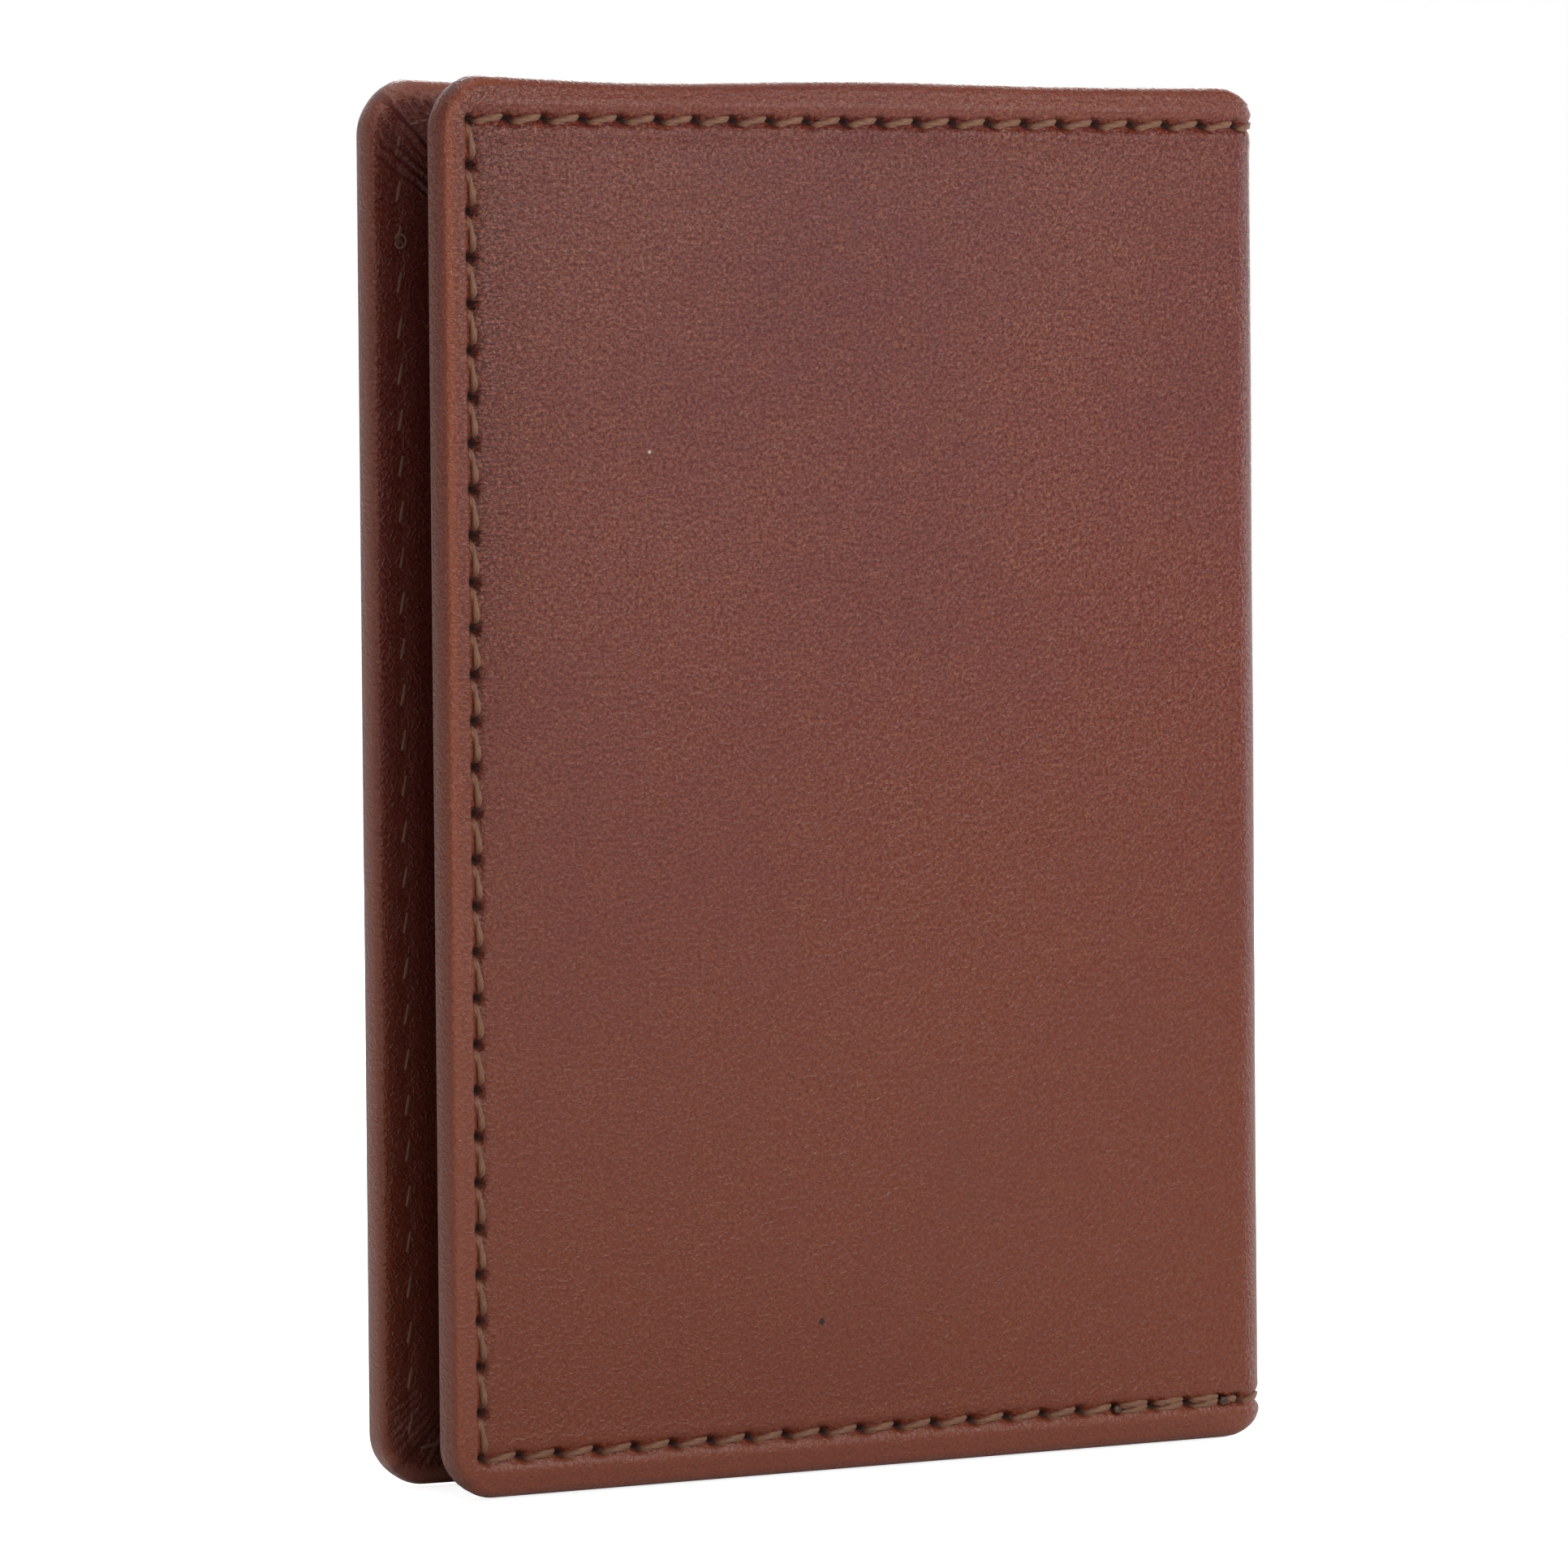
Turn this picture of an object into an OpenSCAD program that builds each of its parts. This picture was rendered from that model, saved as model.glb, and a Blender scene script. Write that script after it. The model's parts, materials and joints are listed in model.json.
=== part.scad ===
// Bifold card case with turned edges, standing upright and slightly open.
// +Z runs up along the fold, +X points to the fold and -Y is the front cover's side.
// The origin is the middle of the footprint, at the height of the lower edges.

/* [Case] */
// Height of the case, along the fold
case_h = 105; // [95:1:120]
// Width of the case, from the free edges to the outside of the fold
case_w = 75; // [68:1:85]
// Outside diameter of the fold, which is the thickness of the closed case
fold_d = 7; // [6.6:0.2:9]
// Angle by which each cover stands away from closed at rest
rest_angle = 2.72; // [1:0.02:3]
// Thickness of a cover at its turned edge
edge_t = 2.6; // [2.6:0.05:2.8]
// Radius of the free corners, seen from the front
corner_r = 4; // [3:0.5:5]
// Rounding of the turned edge between its narrow side and a cover's faces
edge_round = 0.5; // [0.3:0.1:1]

/* [Layers] */
// Thickness of the outer leather
leather_t = 0.9; // [0.8:0.05:0.9]
// Thickness of the stiffening board
board_t = 0.4; // [0.3:0.05:0.4]
// Thickness of the lining
lining_t = 0.3; // [0.2:0.05:0.3]
// Thickness of the turned-in hem, pared thinner than the outer leather
hem_t = 0.7; // [0.6:0.05:0.7]
// Width of the turned-in hem, from the edge of the case
hem_w = 7.5; // [6:0.5:9]

/* [Pockets] */
// Reach of the rear pocket, from the free edge to its mouth
rear_pocket_w = 60; // [56:1:62]
// Reach of the inner front pocket, from the free edge to its mouth
inner_pocket_w = 61; // [57:1:62]
// Reach of the outer front pocket, from the free edge to its mouth
outer_pocket_w = 48; // [40:1:52]
// Thickness of the pocket leather
pocket_t = 0.45; // [0.4:0.05:0.5]
// Radius of the thumb notch in a pocket's mouth
notch_r = 14; // [10:1:18]
// Depth of the thumb notch
notch_depth = 5; // [3:0.5:7]

/* [Seam] */
// Distance of the seam from the free edge
side_inset = 2.4; // [2.2:0.1:3]
// Distance of the seam from the top and bottom edges
end_inset = 3; // [2.6:0.1:3.4]
// Length of seam that one stitch takes up
stitch_pitch = 3.45; // [3:0.05:4]
// Length of one stitch on the outside
stitch_len = 2.5; // [1.8:0.1:2.6]
// Diameter of the needle thread, which shows outside
thread_d = 0.5; // [0.4:0.02:0.5]
// Diameter of the bobbin thread, which shows inside
bobbin_d = 0.3; // [0.2:0.02:0.32]
// Lean of the stitches off the line of the seam
stitch_lean = 9; // [4:1:10]
// Number of stitches sewn twice to lock the seam
lock_stitches = 3; // [1:1:5]

/* [Hidden] */
$fn = 64;
fold_r = fold_d / 2;
fold_x = case_w / 2 - fold_r;
rim_w = edge_t / 2;

// A cover runs from the fold to cover_l, so that its rim's outermost point lies at -case_w / 2
round_x = (case_w - fold_r - edge_round + (fold_r - edge_t + edge_round) * sin(rest_angle))
          / cos(rest_angle);
cover_l = round_x + edge_round;

// The fold is cut in three: a quarter of it stays with each cover and the half between is the spine
bend_span = (90 - rest_angle) / 2;
joint_gap = 0.3;
reach = 2 * fold_r;

// Depths below a cover's outer face
lining_v = leather_t + board_t;
flange_v = lining_v + lining_t;
hem_v = edge_t - hem_t;
layer_gap = 0.2;
inner_inset = rim_w + layer_gap;

// Pocket flanges fill the room between lining and hem; the pockets stand open by card_room
flange_room = hem_v - flange_v;
card_room = 0.7;
slot_room = 0.4;
wall_t = 0.4;
wall_gap = 0.15;

groove_w = 1.2;
groove_d = thread_d + 0.02;
row_l = cover_l - side_inset;
col_l = case_h - 2 * end_inset;
row_n = round(row_l / stitch_pitch);
col_n = round(col_l / stitch_pitch);
row_pitch = row_l / row_n;
col_pitch = col_l / col_n;
bobbin_len = 0.72 * stitch_len;
bend_stitch = 32;
melt_r = 0.25;

leather_c = [0.45, 0.26, 0.22];
hem_c = [0.36, 0.19, 0.16];
lining_c = [0.22, 0.13, 0.11];
pocket_c = [0.42, 0.24, 0.20];
board_c = [0.72, 0.66, 0.55];
thread_c = [0.62, 0.45, 0.30];

// Placing
// A cover is drawn with x from the fold to the free edge, y as depth below the outer face and z up.
module on_front() {
  translate([fold_x, 0, 0])
    rotate([0, 0, rest_angle])
      mirror([1, 0, 0])
        translate([0, -fold_r, 0])
          children();
}

module on_rear() {
  mirror([0, 1, 0]) on_front() children();
}

module on_spine() {
  translate([fold_x, 0, 0]) children();
}

// Mirrors its children from the upper end of the case to the lower end
module lower_end() {
  translate([0, 0, case_h]) mirror([0, 0, 1]) children();
}

module both_ends() {
  children();
  lower_end() children();
}

// Shapes of one layer
// Turns an outline drawn in x and z into a plate of thickness t that starts at depth v
module plate(v, t) {
  translate([0, v + t, 0]) rotate([90, 0, 0]) linear_extrude(t) children();
}

module quarter_disc(r) {
  intersection() {
    circle(r);
    square(r);
  }
}

// Outline of a cover, set in from its edges, with its two free corners round
module cover_outline(inset, start = 0) {
  round_r = corner_r - inset;
  translate([start, inset]) square([cover_l - corner_r - start, case_h - 2 * inset]);
  translate([cover_l - corner_r, corner_r]) square([round_r, case_h - 2 * corner_r]);
  translate([cover_l - corner_r, case_h - corner_r]) quarter_disc(round_r);
  translate([cover_l - corner_r, corner_r]) mirror([0, 1]) quarter_disc(round_r);
}

// Section of the turned edge: it stands on the x axis and its two upper corners are round
module rim_section() {
  flat = rim_w - edge_round;
  translate([-rim_w, 0]) square([edge_t, flat]);
  translate([-flat, flat]) square([2 * flat, edge_round]);
  for (side = [0, 1])
    mirror([side, 0]) translate([flat, flat]) quarter_disc(edge_round);
}

module ring(r_in, r_out) {
  difference() {
    circle(r_out);
    circle(r_in);
  }
}

// The quarter of the fold that belongs to a cover, in the cover's x and depth
module cover_wedge() {
  start = [0, -joint_gap / 2 / sin(bend_span)];
  polygon([start, start - reach * [sin(bend_span), cos(bend_span)], [0, -reach]]);
}

// The half of the fold that is the spine, about the fold's axis
module spine_wedge() {
  start = [joint_gap / 2 / sin(bend_span), 0];
  polygon([start, start + reach * [cos(bend_span), -sin(bend_span)],
           start + reach * [cos(bend_span), sin(bend_span)]]);
}

// Bent layer of a cover between two depths and two heights
module cover_bend(v0, v1, z0, z1) {
  translate([0, fold_r, z0])
    linear_extrude(z1 - z0)
      intersection() {
        ring(fold_r - v1, fold_r - v0);
        cover_wedge();
      }
}

module spine_bend(v0, v1, z0, z1) {
  translate([0, 0, z0])
    linear_extrude(z1 - z0)
      intersection() {
        ring(fold_r - v1, fold_r - v0);
        spine_wedge();
      }
}

// Upper rim of the fold, all the way round the fold's axis
module bend_rim() {
  translate([0, 0, case_h - rim_w])
    rotate_extrude() translate([fold_r - rim_w, 0]) rim_section();
}

// Upper rim of a cover, from the fold to its corner, with the corner
module cover_rim() {
  translate([0, rim_w, case_h - rim_w])
    rotate([90, 0, 90]) linear_extrude(cover_l - corner_r) rim_section();
  translate([cover_l - corner_r, 0, case_h - corner_r])
    rotate([90, 0, 0])
      rotate_extrude(angle = 90)
        translate([corner_r - rim_w, -rim_w]) rotate(-90) rim_section();
}

// Leather
// Channel that the seam lies in, round a cover's three sides
module seam_channel() {
  both_ends()
    translate([-1, -1, case_h - end_inset - groove_w / 2])
      cube([row_l + 1 + groove_w / 2, 1 + groove_d, groove_w]);
  translate([row_l - groove_w / 2, -1, end_inset])
    cube([groove_w, 1 + groove_d, col_l]);
}

// The channel's ring round the fold
module fold_channel() {
  both_ends()
    translate([0, 0, case_h - end_inset - groove_w / 2])
      linear_extrude(groove_w) ring(fold_r - groove_d, fold_r + 1);
}

module cover_leather() {
  color(leather_c)
    difference() {
      union() {
        plate(0, leather_t) cover_outline(rim_w);
        cover_bend(0, leather_t, rim_w, case_h - rim_w);
        both_ends() cover_rim();
        translate([cover_l - rim_w, rim_w, corner_r])
          linear_extrude(case_h - 2 * corner_r) rotate(-90) rim_section();
        intersection() {
          translate([0, fold_r, 0]) both_ends() bend_rim();
          translate([0, fold_r, 0]) linear_extrude(case_h) cover_wedge();
        }
      }
      seam_channel();
      translate([0, fold_r, 0]) fold_channel();
    }
}

module end_hem() {
  color(hem_c) {
    plate(hem_v, hem_t)
      intersection() {
        cover_outline(rim_w);
        polygon([[0, case_h], [0, case_h - hem_w], [cover_l - hem_w, case_h - hem_w],
                 [cover_l, case_h]]);
      }
    cover_bend(hem_v, edge_t, case_h - hem_w, case_h - rim_w);
  }
}

module side_hem() {
  color(hem_c)
    plate(hem_v, hem_t)
      intersection() {
        cover_outline(rim_w);
        polygon([[cover_l, 0], [cover_l, case_h], [cover_l - hem_w, case_h - hem_w],
                 [cover_l - hem_w, hem_w]]);
      }
}

module spine_hem() {
  color(hem_c) spine_bend(hem_v, edge_t, case_h - hem_w, case_h - rim_w);
}

// Stiffening and lining
module cover_board() {
  color(board_c) plate(leather_t, board_t) cover_outline(inner_inset, layer_gap);
}

module cover_lining() {
  color(lining_c) {
    plate(lining_v, lining_t) cover_outline(inner_inset);
    cover_bend(lining_v, flange_v, inner_inset, case_h - inner_inset);
  }
}

// Pockets
// A panel whose flange lies under the hem and whose middle stands over a slot that is open to the fold
module pocket(w, v, flange_t, side, slot_v) {
  mouth = cover_l - w;
  top_v = slot_v + pocket_t;
  inner = side + wall_t;
  color(pocket_c)
    difference() {
      union() {
        plate(v, flange_t) cover_outline(inner_inset, mouth);
        translate([mouth, v, side]) cube([w - side, top_v - v, case_h - 2 * side]);
      }
      translate([mouth - 1, v - 1, inner])
        cube([w - inner + 1, slot_v - v + 1, case_h - 2 * inner]);
      translate([mouth + notch_depth - notch_r, top_v + 1, case_h / 2])
        rotate([90, 0, 0]) cylinder(h = top_v - v + 2, r = notch_r);
    }
}

// Thread
// One straight stitch at depth v, turned by a from the x axis towards z
module stitch(x, v, z, a, len, d) {
  translate([x, v, z])
    rotate([0, -a, 0])
      rotate([0, 90, 0])
        cylinder(h = len, d = d, center = true, $fn = 24);
}

// Stitches of the seam on one cover. The lower row starts at stitch lower_from
module cover_seam(v, lean, len, d, lower_from = 0) {
  for (i = [0 : row_n - 1])
    stitch((i + 0.5) * row_pitch, v, case_h - end_inset, lean, len, d);
  for (i = [lower_from : row_n - 1])
    stitch((i + 0.5) * row_pitch, v, end_inset, lean, len, d);
  for (i = [0 : col_n - 1])
    stitch(row_l, v, end_inset + (i + 0.5) * col_pitch, 90 + lean, len, d);
}

// Stitch bent round the fold's axis, centred on direction a
module bent_stitch(r, a, span, d) {
  both_ends()
    translate([0, 0, case_h - end_inset])
      rotate([0, 0, a - span / 2])
        rotate_extrude(angle = span) translate([r, 0]) circle(d = d, $fn = 24);
}

module cover_stitches(lean, lower_from = 0) {
  color(thread_c) {
    cover_seam(groove_d - thread_d / 2, lean, stitch_len, thread_d, lower_from);
    translate([0, fold_r, 0])
      bent_stitch(fold_r - groove_d + thread_d / 2, -90 - bend_span / 2, bend_stitch, thread_d);
  }
}

module cover_bobbin(lean) {
  color(thread_c) cover_seam(edge_t + bobbin_d / 2, -lean, bobbin_len, bobbin_d);
}

// Front cover
module front_cover_leather() {
  on_front() cover_leather();
}

module front_top_hem() {
  on_front() end_hem();
}

module front_bottom_hem() {
  on_front() lower_end() end_hem();
}

module front_side_hem() {
  on_front() side_hem();
}

module front_cover_board() {
  on_front() cover_board();
}

module front_cover_lining() {
  on_front() cover_lining();
}

module front_inner_card_pocket() {
  on_front()
    pocket(inner_pocket_w, flange_v, flange_room / 2, hem_w + 2 * wall_gap + wall_t,
           flange_v + slot_room);
}

module front_outer_card_pocket() {
  on_front()
    pocket(outer_pocket_w, flange_v + flange_room / 2, flange_room / 2, hem_w + wall_gap,
           flange_v + 2 * slot_room + pocket_t);
}

module front_seam_stitches() {
  on_front() cover_stitches(-stitch_lean, lock_stitches);
}

module front_bobbin_stitches() {
  on_front() cover_bobbin(-stitch_lean);
}

// Each lock stitch is sewn twice, side by side, and the thread ends are melted into beads
module seam_lock_stitches() {
  lock_d = thread_d * 0.9;
  color(thread_c)
    on_front() {
      for (i = [0 : lock_stitches - 1])
        for (side = [-1, 1])
          stitch((i + 0.5) * row_pitch, groove_d - lock_d / 2, end_inset + side * lock_d / 2,
                 0, stitch_len, lock_d);
      for (x = [0.1, lock_stitches * row_pitch])
        translate([x, groove_d - melt_r, end_inset]) sphere(r = melt_r, $fn = 24);
    }
}

// Rear cover
module rear_cover_leather() {
  on_rear() cover_leather();
}

module rear_top_hem() {
  on_rear() end_hem();
}

module rear_bottom_hem() {
  on_rear() lower_end() end_hem();
}

module rear_side_hem() {
  on_rear() side_hem();
}

module rear_cover_board() {
  on_rear() cover_board();
}

module rear_cover_lining() {
  on_rear() cover_lining();
}

module rear_card_pocket() {
  on_rear() pocket(rear_pocket_w, flange_v, flange_room, hem_w + wall_gap, flange_v + card_room);
}

module rear_seam_stitches() {
  on_rear() cover_stitches(stitch_lean);
}

module rear_bobbin_stitches() {
  on_rear() cover_bobbin(stitch_lean);
}

// Spine
module spine_leather() {
  color(leather_c)
    on_spine()
      difference() {
        union() {
          spine_bend(0, leather_t, rim_w, case_h - rim_w);
          intersection() {
            both_ends() bend_rim();
            linear_extrude(case_h) spine_wedge();
          }
        }
        fold_channel();
      }
}

module spine_top_hem() {
  on_spine() spine_hem();
}

module spine_bottom_hem() {
  on_spine() lower_end() spine_hem();
}

module spine_reinforcement() {
  color(board_c) on_spine() spine_bend(leather_t, lining_v, inner_inset, case_h - inner_inset);
}

module spine_lining() {
  color(lining_c) on_spine() spine_bend(lining_v, flange_v, inner_inset, case_h - inner_inset);
}

module spine_seam_stitches() {
  color(thread_c)
    on_spine() bent_stitch(fold_r - groove_d + thread_d / 2, 0, bend_stitch, thread_d);
}

module spine_bobbin_stitches() {
  color(thread_c)
    on_spine() bent_stitch(fold_r - edge_t - bobbin_d / 2, 0, bend_span, bobbin_d);
}

front_cover_leather();
front_top_hem();
front_bottom_hem();
front_side_hem();
front_cover_board();
front_cover_lining();
front_inner_card_pocket();
front_outer_card_pocket();
front_seam_stitches();
front_bobbin_stitches();
seam_lock_stitches();
rear_cover_leather();
rear_top_hem();
rear_bottom_hem();
rear_side_hem();
rear_cover_board();
rear_cover_lining();
rear_card_pocket();
rear_seam_stitches();
rear_bobbin_stitches();
spine_leather();
spine_top_hem();
spine_bottom_hem();
spine_reinforcement();
spine_lining();
spine_seam_stitches();
spine_bobbin_stitches();
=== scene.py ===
import bpy
import bmesh
import json
import math
from bisect import bisect_left
from mathutils import Matrix, Vector, noise


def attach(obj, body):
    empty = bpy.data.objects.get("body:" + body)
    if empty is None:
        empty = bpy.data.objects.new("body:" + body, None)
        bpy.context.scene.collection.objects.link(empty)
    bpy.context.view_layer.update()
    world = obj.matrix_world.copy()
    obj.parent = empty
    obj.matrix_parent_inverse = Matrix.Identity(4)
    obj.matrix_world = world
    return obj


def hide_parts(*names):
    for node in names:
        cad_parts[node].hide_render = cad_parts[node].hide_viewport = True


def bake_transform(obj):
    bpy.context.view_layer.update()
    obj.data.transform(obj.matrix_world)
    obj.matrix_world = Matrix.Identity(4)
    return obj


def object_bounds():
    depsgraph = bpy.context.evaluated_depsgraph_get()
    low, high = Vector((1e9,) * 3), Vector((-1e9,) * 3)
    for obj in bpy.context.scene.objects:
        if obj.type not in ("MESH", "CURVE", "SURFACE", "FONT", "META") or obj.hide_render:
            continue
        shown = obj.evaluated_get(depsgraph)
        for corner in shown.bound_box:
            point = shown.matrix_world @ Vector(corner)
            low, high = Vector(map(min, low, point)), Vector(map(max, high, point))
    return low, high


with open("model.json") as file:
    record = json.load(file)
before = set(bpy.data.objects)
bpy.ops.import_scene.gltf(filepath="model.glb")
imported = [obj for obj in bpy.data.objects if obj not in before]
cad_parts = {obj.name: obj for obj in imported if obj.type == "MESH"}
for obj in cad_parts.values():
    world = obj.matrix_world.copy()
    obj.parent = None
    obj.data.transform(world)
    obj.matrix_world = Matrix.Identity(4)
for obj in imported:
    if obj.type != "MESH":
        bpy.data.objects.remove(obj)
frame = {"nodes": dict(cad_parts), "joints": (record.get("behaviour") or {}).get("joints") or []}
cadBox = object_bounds()
mm = 0.001
scene = bpy.context.scene
print("frame loaded")

# the case in millimetres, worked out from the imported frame
case = {"foldRadius": 3.5, "edge": 2.6, "cornerRadius": 4.0, "hem": 7.5}
case["height"] = (cadBox[1][2] - cadBox[0][2]) / mm
case["open"] = -math.radians(frame["joints"][0]["range_deg"][0])
case["foldX"] = cadBox[1][0] / mm - case["foldRadius"]
case["round"] = 0.5
reach = case["foldX"] - cadBox[0][0] / mm - case["round"]
reach += (case["foldRadius"] - case["edge"] + case["round"]) * math.sin(case["open"])
case["cover"] = reach / math.cos(case["open"]) + case["round"]  # from the fold to the free edge
case["quarter"] = case["foldRadius"] * (math.pi / 2 - case["open"])  # leather from the fold's crown
case["flat"] = case["quarter"] + case["cover"]  # half of the shell, laid flat

seam = {"side": 2.4, "end": 3.0, "pitch": 3.45, "lean": 12.5, "lockStitches": 3,
        "shortStitch": 1.45, "topPitch": 3.33}
seam["sideAt"] = case["flat"] - seam["side"]
rowCount = round((case["cover"] - seam["side"]) / seam["pitch"])
seam["rowPitch"] = (case["cover"] - seam["side"]) / rowCount
columnCount = round((case["height"] - 2 * seam["end"]) / seam["pitch"])
seam["columnPitch"] = (case["height"] - 2 * seam["end"]) / columnCount
rowHoles = [case["quarter"] / 3] + [case["quarter"] + i * seam["rowPitch"] for i in range(rowCount + 1)]
topHoles = [seam["sideAt"] - i * seam["topPitch"] for i in reversed(range(rowCount + 3))]
lockStart = case["quarter"] + seam["shortStitch"]
lockPitch = (seam["sideAt"] - lockStart) / rowCount
lockHoles = [case["quarter"] / 3, case["quarter"]] + [lockStart + i * lockPitch for i in range(rowCount + 1)]
seam["rows"] = {-1: {"low": lockHoles, "high": topHoles}, 1: {"low": rowHoles, "high": rowHoles}}
seam["columnHoles"] = [seam["end"] + i * seam["columnPitch"] for i in range(columnCount + 1)]

# turns in degrees, lengths in mm
camera = {"swing": 30.87, "rise": 2.36, "roll": -0.47, "distance": 728.0, "lens": 219.3,
          "across": -3.95, "up": -0.67}


def makeCamera():
    swing = math.radians(camera["swing"])
    rise = math.radians(camera["rise"])
    roll = math.radians(camera["roll"])
    ahead = Vector((math.sin(swing) * math.cos(rise), math.cos(swing) * math.cos(rise), -math.sin(rise)))
    right = Vector((math.cos(swing), -math.sin(swing), 0))
    up = right.cross(ahead)
    rolledRight = right * math.cos(roll) + up * math.sin(roll)
    rolledUp = up * math.cos(roll) - right * math.sin(roll)
    aim = Vector((0, 0, case["height"] / 2 + camera["up"])) + right * camera["across"]
    place = Matrix((rolledRight, rolledUp, -ahead)).transposed().to_4x4()
    place.translation = (aim - ahead * camera["distance"]) * mm
    data = bpy.data.cameras.new("camera")
    data.lens = camera["lens"]
    data.sensor_width = 36
    data.clip_start = 0.05
    data.clip_end = 20
    item = bpy.data.objects.new("camera", data)
    item.matrix_world = place
    scene.collection.objects.link(item)
    scene.camera = item


lights = {
    # name: place in mm, aim in mm, width, height, watts, colour
    "sheenBox": ((120, -190, 150), (-25, 0, 84), 80, 80, 0.215, (1.0, 0.975, 0.95)),
    "frontBox": ((-150, -820, 430), (0, 0, 50), 560, 560, 3.25, (1.0, 0.965, 0.915)),
    "sideBox": ((-800, 80, 300), (0, 0, 50), 500, 500, 0.52, (1.0, 0.98, 0.96)),
    "topBox": ((0, 100, 900), (0, 0, 50), 700, 700, 3.0, (1.0, 1.0, 1.0)),
    "rightBox": ((850, 90, 160), (0, 0, 55), 260, 520, 1.6, (0.92, 0.96, 1.0)),
    "backBox": ((500, 600, 350), (0, 0, 50), 500, 500, 4.5, (1.0, 0.99, 0.97)),
}
studio = {"backdrop": 1.0, "fill": 0.09}
sweep = {"front": 1.6, "level": 2.6, "bend": 0.5, "length": 4.6, "width": 4.0}


def makeLights():
    for name, (place, aim, wide, high, watts, colour) in lights.items():
        data = bpy.data.lights.new(name, "AREA")
        data.shape = "RECTANGLE"
        data.size = wide * mm
        data.size_y = high * mm
        data.energy = watts
        data.color = colour
        item = bpy.data.objects.new(name, data)
        item.location = Vector(place) * mm
        item.rotation_euler = (Vector(aim) - Vector(place)).to_track_quat("-Z", "Y").to_euler()
        scene.collection.objects.link(item)
    world = bpy.data.worlds.new("studio")
    world.use_nodes = True
    tree = world.node_tree
    seen = tree.nodes.new("ShaderNodeLightPath").outputs["Is Camera Ray"]
    level = addNode(tree, "ShaderNodeMapRange", {}, i0=seen, i1=0.0, i2=1.0, i3=studio["fill"],
                    i4=studio["backdrop"]).outputs[0]
    tree.nodes["Background"].inputs["Color"].default_value = (1, 1, 1, 1)
    tree.links.new(level, tree.nodes["Background"].inputs["Strength"])
    scene.world = world
    scene.view_settings.view_transform = "Standard"


def addNode(tree, kind, settings=None, **sockets):
    item = tree.nodes.new(kind)
    for key, value in (settings or {}).items():
        setattr(item, key, value)
    for key, value in sockets.items():
        socket = item.inputs[int(key[1:]) if key[1:].isdigit() else key]  # i0 is the first input
        if isinstance(value, bpy.types.NodeSocket):
            tree.links.new(value, socket)
        else:
            socket.default_value = value
    return item


def mixColour(tree, factor, first, second, how="MIX"):
    item = addNode(tree, "ShaderNodeMix", {"data_type": "RGBA", "blend_type": how})
    for index, value in ((0, factor), (6, first), (7, second)):
        if isinstance(value, bpy.types.NodeSocket):
            tree.links.new(value, item.inputs[index])
        else:
            item.inputs[index].default_value = value
    return item.outputs[2]


def maths(tree, how, first, second=0.0):
    return addNode(tree, "ShaderNodeMath", {"operation": how}, i0=first, i1=second).outputs[0]


def ramp(tree, value, low, high, start=0.0, end=1.0):
    return addNode(tree, "ShaderNodeMapRange", {"interpolation_type": "SMOOTHSTEP"}, i0=value, i1=low,
                   i2=high, i3=start, i4=end).outputs[0]


def newGroup(name, inputs, outputs):
    tree = bpy.data.node_groups.new(name, "ShaderNodeTree")
    for socketName, kind, value in inputs:
        socket = tree.interface.new_socket(name=socketName, in_out="INPUT", socket_type=kind)
        if value is not None:
            socket.default_value = value
    for socketName, kind in outputs:
        tree.interface.new_socket(name=socketName, in_out="OUTPUT", socket_type=kind)
    return tree, tree.nodes.new("NodeGroupInput").outputs, tree.nodes.new("NodeGroupOutput").inputs


def millimetres(tree):
    place = tree.nodes.new("ShaderNodeTexCoord").outputs["Object"]
    return addNode(tree, "ShaderNodeVectorMath", {"operation": "SCALE"}, i0=place, Scale=1000.0).outputs[0]


def noiseAt(tree, vector, scale, detail=2.0, rough=0.5, stretch=None):
    if stretch:
        vector = addNode(tree, "ShaderNodeMapping", {}, Vector=vector, Scale=stretch).outputs[0]
    return addNode(tree, "ShaderNodeTexNoise", {}, Vector=vector, Scale=scale, Detail=detail,
                   Roughness=rough).outputs["Fac"]


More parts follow.
